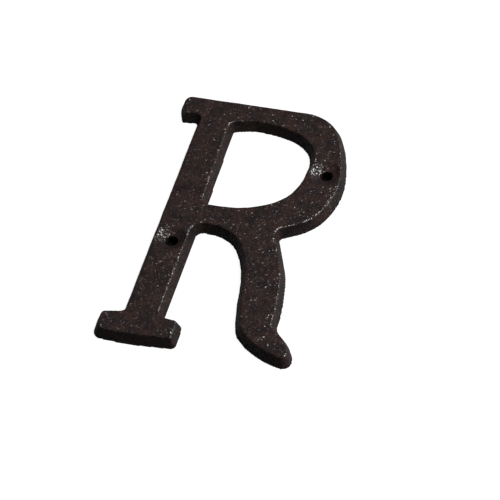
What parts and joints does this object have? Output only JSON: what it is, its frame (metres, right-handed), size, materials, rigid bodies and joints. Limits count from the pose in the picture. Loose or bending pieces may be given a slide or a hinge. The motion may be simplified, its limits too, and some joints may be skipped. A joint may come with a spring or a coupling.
{
  "type": "house letter",
  "caption": "Cast-iron serif capital R for a door, gate, fence or wall, with a flat back, drafted sides, rounded front edges and dished screw holes.",
  "frame": {"origin": "on the flat back, at the middle of the letter's 45 x 75 mm box", "axes": "+X in the reading direction, +Y up the letter, +Z out of its face; the letter lies on its back"},
  "size_m": [0.045, 0.075, 0.0026],
  "materials": {
    "cast_iron": "sand-cast iron under a dark bronze-brown lacquer, glossy, with a fine grainy glitter"
  },
  "bodies": {
    "root": {"cast_letter": "cast_iron"}
  },
  "joints": []
}
